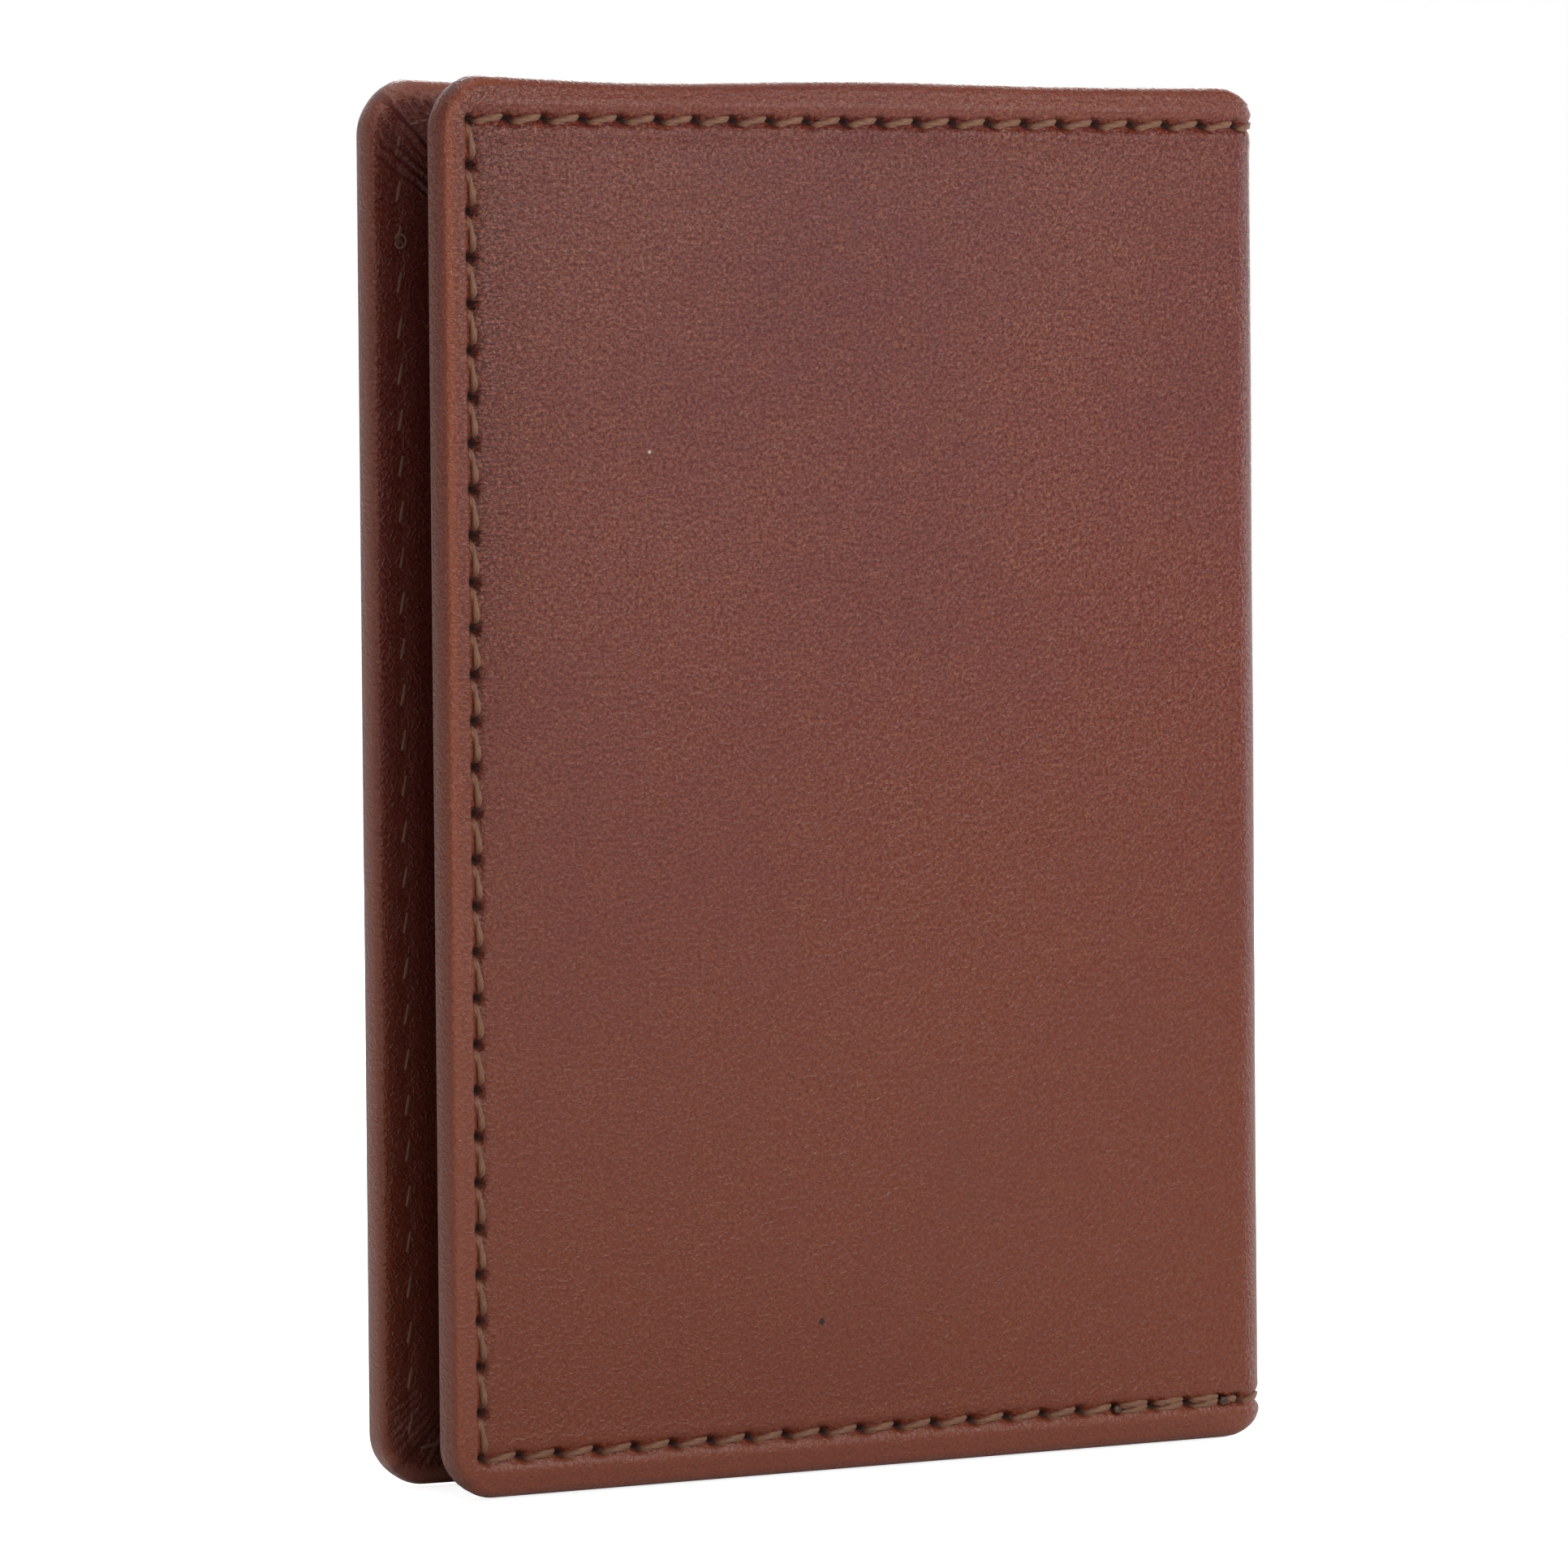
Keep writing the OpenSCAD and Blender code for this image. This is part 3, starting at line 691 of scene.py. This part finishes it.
            # painted edge shading: an orange band on the rim just off the face, strongest near the free edge
            # and towards the top, where the light falls across the curve
            creaseAndEdgeBand = math.exp(-((edge - 0.42) / 0.24) ** 2)
            edgeBandFade = (0.25 + 0.75 * smooth(15, 80, z)) * smooth(9.0, 3.5, side)
            vert[marks["paintedEdgeBand"]] = 0.75 * creaseAndEdgeBand * edgeBandFade
            fromSeam = seam["sideAt"] - s
            nearSeam = math.exp(-max(fromSeam, 0.0) / 3.0) if fromSeam > -2 else 0.0
            vert[marks["pored"]] = min(0.35 * smooth(60, 100, z) + 1.1 * nearSeam * smooth(30, 70, z), 1.0)
            vert[marks["pored"]] *= 0.6 if fromSeam < 0 else 1.0
        elif past > 1:
            inner = seamAt(s, z, sign)
            pull = 0.6 + 0.4 * math.cos(2 * math.pi * inner[1] / seam["pitch"])
            dip = 0.10 * math.exp(-(inner[0] / 0.45) ** 2) * pull
            bulge = pleatLift(side, end, 1.0 if upper else -1.0)
            rough = 0.05 * noise.noise(Vector((s * 0.35, z * 0.35, 9.0)))
            depth += (bulge + rough - dip) * smooth(1, 1.8, past) * smooth(1.2 + hemRun, 0.4 + hemRun, past)
        rimHighlightShare = 1.0 if sign > 0 else 0.1  # painted highlight: the rear cover's rim is made paler, standing in for the light along it; the front rim only faintly
        vert[marks["rimHighlight"]] = rimHighlightShare * math.sin(math.pi * past) if 0 < past < 1 else 0.0
        vert[marks["turned"]] = smooth(0.9, 1.6, past)
        if vert.co.x < -crown:
            depth += 0.02
        vert.co = Vector((s, depth, z))
    for face in bm.faces:
        for loop in face.loops:
            flatX, flatZ = flatOf[loop.vert]
            loop[flatMap].uv = (-sign * flatX / 100, flatZ / 100)
    bmesh.ops.recalc_face_normals(bm, faces=bm.faces)
    foldUp(bm, sign)
    name = cover.replace("_cover", "Shell")
    item = finishMesh(bm, name, material)
    bendWith(item)
    word = cover.split("_")[0]
    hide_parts(word + "_cover_leather", word + "_top_hem", word + "_bottom_hem", word + "_side_hem",
                *(["spine_leather", "spine_top_hem", "spine_bottom_hem"] if sign > 0 else []))
    print(name, sum(len(p.vertices) - 2 for p in item.data.polygons), "triangles")


thread = {"radius": 0.26, "length": 2.78, "lobes": 3, "around": 12, "steps": 14, "twist": 5.6, "sink": 0.42,
          "depth": 0.13}
bobbin = {"radius": 0.15, "length": 2.1, "lobes": 2, "around": 6, "steps": 6, "twist": 4.0, "sink": 0.22,
          "depth": -0.06}
curl = {"radius": 0.36, "thread": 0.1, "turns": 1.6, "drop": 0.5, "lift": 0.12, "z": 93.3, "steps": 36}


def addStitch(bm, uvLayer, kind, at, angle, depthAt, facing, length=None):
    made = bmesh.ops.create_grid(bm, x_segments=kind["steps"], y_segments=kind["around"], size=0.5)["verts"]
    length = length or kind["length"]
    faces = {face for vert in made for face in vert.link_faces}
    for face in faces:
        for loop in face.loops:
            loop[uvLayer].uv = (loop.vert.co.y, loop.vert.co.x)
    turned = math.radians(angle)
    for vert in made:
        t = vert.co.x * 2
        around = vert.co.y * 2 * math.pi
        lobe = 1 + 0.2 * math.cos(kind["lobes"] * around + kind["twist"] * t)
        taper = 1 - 0.45 * abs(t) ** 5
        across = kind["radius"] * lobe * taper * math.cos(around)
        rise = kind["radius"] * lobe * taper * math.sin(around)
        along = t * length / 2
        level = depthAt + facing * (kind["sink"] * abs(t) ** 5) - facing * rise
        x = at[0] + along * math.cos(turned) - across * math.sin(turned)
        z = at[1] + along * math.sin(turned) + across * math.cos(turned)
        vert.co = Vector((x, level, z))


def seamStations(sign):
    lean = seam["lean"] * (1 if sign > 0 else -1)
    for level, row in ((seam["end"], "low"), (case["height"] - seam["end"], "high")):
        rows = seam["rows"][sign][row]
        for left, right in zip(rows, rows[1:]):
            yield (left + right) / 2, level, lean, right - left, row == "low" and left
    for low, top in zip(seam["columnHoles"], seam["columnHoles"][1:]):
        yield seam["sideAt"], (low + top) / 2, 90 + lean, top - low, False


def makeStitches(name, sign, kind, inside, material, replaced, lock=False):
    bm = bmesh.new()
    uvLayer = bm.loops.layers.uv.new("along")
    lockEnd = lockStart + seam["lockStitches"] * lockPitch - 0.1
    for x, z, angle, cell, lower in seamStations(sign):
        locked = sign < 0 and not inside and lower and lockStart - 0.1 < lower < lockEnd
        if locked != lock:
            continue
        wobble = 2.2 * noise.noise(Vector((x * 3.1, z * 3.1, sign * 2.0)))
        facing = -1.0 if inside else 1.0
        level = case["edge"] + kind["depth"] if inside else kind["depth"]
        if lock:
            for shift in (-1, 1):
                addStitch(bm, uvLayer, kind, (x, z + shift * 0.22), angle * 0.6 + shift * 3, level - 0.04,
                          facing)
        else:
            turn = -angle if inside and angle < 45 else angle
            addStitch(bm, uvLayer, kind, (x, z), turn + wobble, level, facing,
                      kind["length"] * min(cell / seam["pitch"], 1.0))
    bmesh.ops.remove_doubles(bm, verts=bm.verts, dist=0.002)
    bmesh.ops.holes_fill(bm, edges=[e for e in bm.edges if e.is_boundary], sides=0)
    bmesh.ops.recalc_face_normals(bm, faces=bm.faces)
    foldUp(bm, sign)
    bmesh.ops.recalc_face_normals(bm, faces=bm.faces)
    item = finishMesh(bm, name, material)
    bendWith(item)
    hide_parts(replaced)
    print(name, len(item.data.polygons), "faces")


# a small curl of slack bobbin thread near the top of the rear cover
def makeCurl(material):
    bm = bmesh.new()
    uvLayer = bm.loops.layers.uv.new("along")
    bmesh.ops.create_grid(bm, x_segments=curl["steps"], y_segments=bobbin["around"], size=0.5)
    for face in bm.faces:
        for loop in face.loops:
            loop[uvLayer].uv = (loop.vert.co.y, loop.vert.co.x * 3)
    for vert in bm.verts:
        turn = (vert.co.x + 0.5) * curl["turns"] * 2 * math.pi
        around = vert.co.y * 2 * math.pi
        radius = curl["radius"] * (1 + 0.25 * math.sin(turn * 0.5)) + curl["thread"] * math.cos(around)
        level = case["edge"] + curl["lift"] + 0.1 * math.sin(turn * 0.5) + curl["thread"] * math.sin(around)
        z = curl["z"] - (vert.co.x + 0.5) * curl["drop"] + radius * math.sin(turn)
        vert.co = Vector((seam["sideAt"] + radius * math.cos(turn), level, z))
    bmesh.ops.remove_doubles(bm, verts=bm.verts, dist=0.002)
    bmesh.ops.holes_fill(bm, edges=[e for e in bm.edges if e.is_boundary], sides=0)
    bmesh.ops.recalc_face_normals(bm, faces=bm.faces)
    foldUp(bm, 1)
    bmesh.ops.recalc_face_normals(bm, faces=bm.faces)
    item = finishMesh(bm, "bobbinCurl", material)
    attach(item, "rear_cover")
    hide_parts("rear_bobbin_stitches")


# a melted end of the thread, pressed flat against the leather
def makeMeltedEnds(material):
    bm = bmesh.new()
    for x in (lockStart + 0.1, lockStart + seam["lockStitches"] * lockPitch + 0.05):
        bead = bmesh.ops.create_icosphere(bm, subdivisions=3, radius=0.36)["verts"]
        for vert in bead:
            vert.co *= 1 + 0.16 * noise.noise(vert.co * 4.0 + Vector((x, 0, 0)))
            vert.co.y *= 0.7
        bmesh.ops.translate(bm, verts=bead, vec=(x, 0.02, seam["end"] - 0.1))
    foldUp(bm, -1)
    item = finishMesh(bm, "meltedEnds", material)
    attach(item, "front_cover")
    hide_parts("seam_lock_stitches")


# gives a flat-laid layer its thickness, on the side away from the outer face
def thicken(bm, thick):
    bmesh.ops.recalc_face_normals(bm, faces=bm.faces)
    bm.normal_update()
    if sum(face.normal.y for face in bm.faces) < 0:
        bmesh.ops.reverse_faces(bm, faces=bm.faces)
        bm.normal_update()
    before = sum(vert.co.y for vert in bm.verts) / len(bm.verts)
    bmesh.ops.solidify(bm, geom=bm.faces, thickness=thick)
    after = sum(vert.co.y for vert in bm.verts) / len(bm.verts)
    if after < before:
        bmesh.ops.translate(bm, verts=bm.verts, vec=(0, thick, 0))
    bmesh.ops.recalc_face_normals(bm, faces=bm.faces)
    bm.normal_update()


lining = {"depth": 1.5, "thick": 0.3, "under": 0.8, "across": 60, "high": 84, "wave": 0.05}


def makeLining(cover, sign, material):
    bm = bmesh.new()
    wide = case["flat"] - case["hem"] + lining["under"]
    low = case["hem"] - lining["under"]
    tall = case["height"] - 2 * low
    bmesh.ops.create_grid(bm, x_segments=lining["across"], y_segments=lining["high"], size=0.5)
    for vert in bm.verts:
        s = (vert.co.x + 0.5) ** 1.5 * wide  # closer rows near the fold
        z = low + (vert.co.y + 0.5) * tall
        ripple = lining["wave"] * noise.noise(Vector((s * 0.12, z * 0.06, 20.0 + sign)))
        vert.co = Vector((s, lining["depth"] + ripple, z))
    thicken(bm, lining["thick"])
    foldUp(bm, sign)
    word = cover.split("_")[0]
    item = finishMesh(bm, word + "Lining", material)
    bendWith(item)
    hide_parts(word + "_cover_lining", *(["spine_lining"] if sign > 0 else []))


strip = {"depth": 1.0, "thick": 0.3, "wide": 2.6, "gap": 2.1}


# half of the felt strip along the spine
def makeSpineStrip(cover, sign, material):
    bm = bmesh.new()
    bmesh.ops.create_grid(bm, x_segments=14, y_segments=30, size=0.5)
    tall = case["height"] - 2 * strip["gap"]
    for vert in bm.verts:
        s = (vert.co.x + 0.5) * strip["wide"]
        vert.co = Vector((s, strip["depth"], strip["gap"] + (vert.co.y + 0.5) * tall))
    thicken(bm, strip["thick"])
    foldUp(bm, sign)
    item = finishMesh(bm, cover.split("_")[0] + "SpineStrip", material)
    bendWith(item)
    if sign > 0:
        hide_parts("spine_reinforcement")


pocketPanels = [
    # cover, hand, piece, node, width from the free edge, depth, depth under the hem
    ("rear_cover", 1, "rearPocket", "rear_card_pocket", 60.0, 2.3, 1.45),
    ("front_cover", -1, "frontInnerPocket", "front_inner_card_pocket", 61.0, 2.0, 1.4),
    ("front_cover", -1, "frontOuterPocket", "front_outer_card_pocket", 48.0, 2.85, 1.45),
]
pocket = {"thick": 0.45, "notchDepth": 5.0, "notchHalf": 13.0, "crease": 1.5, "creaseDepth": 0.09,
          "across": 96, "high": 132, "tuck": 4.5}


# a pocket panel: tucked under the hem on three sides, with a pressed line along its mouth
def makePocket(cover, sign, name, node, wide, level, under, material):
    bm = bmesh.new()
    bmesh.ops.create_grid(bm, x_segments=pocket["across"], y_segments=pocket["high"], size=0.5)
    mouth = case["flat"] - wide
    end = case["flat"] - pocket["tuck"]
    low = pocket["tuck"]
    tall = case["height"] - 2 * low
    middle = case["height"] / 2
    for vert in bm.verts:
        z = low + (vert.co.y + 0.5) * tall
        t = (vert.co.x + 0.5) ** 1.7
        notch = pocket["notchDepth"] * smooth(pocket["notchHalf"], 0.0, abs(z - middle))
        s = mouth + notch + t * (end - mouth - notch)
        fromMouth = s - mouth - notch
        fromHem = min(case["flat"] - s, z, case["height"] - z) - case["hem"]
        depth = under + (level - under) * smooth(-0.1, 1.1, fromHem)
        depth += 0.12 * noise.noise(Vector((s * 0.06, z * 0.05, level * 7.0))) * smooth(0.5, 6.0, fromHem)
        creaseAndEdgeBand = math.exp(-((fromMouth - pocket["crease"]) / 0.28) ** 2)
        depth -= pocket["creaseDepth"] * creaseAndEdgeBand * smooth(0.0, 1.0, fromHem)
        vert.co = Vector((s, depth, z))
    thicken(bm, pocket["thick"])
    brim = [e for e in bm.edges if len(e.link_faces) == 2 and e.calc_face_angle(0) > 1.0]
    bmesh.ops.bevel(bm, geom=brim, offset=0.16, offset_type="OFFSET", segments=3, profile=0.5, affect="EDGES",
                    material=-1)
    bmesh.ops.recalc_face_normals(bm, faces=bm.faces)
    foldUp(bm, sign)
    item = finishMesh(bm, name, material)
    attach(item, cover)
    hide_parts(node)
    print(name, len(item.data.polygons), "faces")


def makeSpineStitches(name, kind, inside, material, replaced):
    bm = bmesh.new()
    uvLayer = bm.loops.layers.uv.new("along")
    facing = -1.0 if inside else 1.0
    level = case["edge"] + kind["depth"] if inside else kind["depth"]
    for z in (seam["end"], case["height"] - seam["end"]):
        addStitch(bm, uvLayer, kind, (0, z), -seam["lean"], level, facing)
    bmesh.ops.remove_doubles(bm, verts=bm.verts, dist=0.002)
    bmesh.ops.holes_fill(bm, edges=[e for e in bm.edges if e.is_boundary], sides=0)
    foldUp(bm, -1)
    bmesh.ops.recalc_face_normals(bm, faces=bm.faces)
    item = finishMesh(bm, name, material)
    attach(item, "spine")
    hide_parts(replaced)


def makeAll():
    makeCamera()
    makeLights()
    makeFloor()
    print("camera and stage made")
    grain = makeGrainGroup()
    twist = makeTwistGroup()
    shellLeather = makeLeather("shellLeather", grain, (0.154, 0.0285, 0.0165, 1), (0.134, 0.0215, 0.0170, 1),
                               (0.182, 0.041, 0.0150, 1), 0.32, 1.0, worked=True)
    seamThread = makeThread("seamThread", twist, (0.31, 0.134, 0.066, 1), (0.11, 0.041, 0.020, 1))
    bobbinThread = makeThread("bobbinThread", twist, (0.24, 0.10, 0.055, 1), (0.10, 0.04, 0.022, 1))
    for cover, sign in (("front_cover", -1), ("rear_cover", 1)):
        word = cover.split("_")[0]
        makeShell(cover, sign, shellLeather)
        makeStitches(word + "Stitches", sign, thread, False, seamThread,
                     word + "_seam_stitches")
        makeStitches(word + "BobbinStitches", sign, bobbin, True, bobbinThread,
                     word + "_bobbin_stitches")
    makeStitches("lockStitches", -1, thread, False, seamThread,
                 "seam_lock_stitches", lock=True)
    makeSpineStitches("spineStitches", thread, False, seamThread, "spine_seam_stitches")
    makeSpineStitches("spineBobbinStitches", bobbin, True, bobbinThread,
                      "spine_bobbin_stitches")
    makeMeltedEnds(makeMelted())
    makeCurl(bobbinThread)
    print("thread made")
    twill = makeTwill()
    board = makeBoard("fibreBoard", (0.42, 0.34, 0.25, 1), (0.27, 0.21, 0.15, 1))
    felt = makeBoard("spineFelt", (0.55, 0.50, 0.43, 1), (0.40, 0.35, 0.29, 1))
    pocketLeather = makeLeather("pocketLeather", grain, (0.150, 0.046, 0.033, 1), (0.120, 0.036, 0.026, 1),
                                (0.160, 0.052, 0.032, 1), 0.5, 0.4)
    for cover, sign in (("front_cover", -1), ("rear_cover", 1)):
        makeLining(cover, sign, twill)
        makeSpineStrip(cover, sign, felt)
        nodeMaterial(frame["nodes"][cover + "_board"], board)
    for cover, sign, name, node, wide, level, under in pocketPanels:
        makePocket(cover, sign, name, node, wide, level, under, pocketLeather)


makeAll()
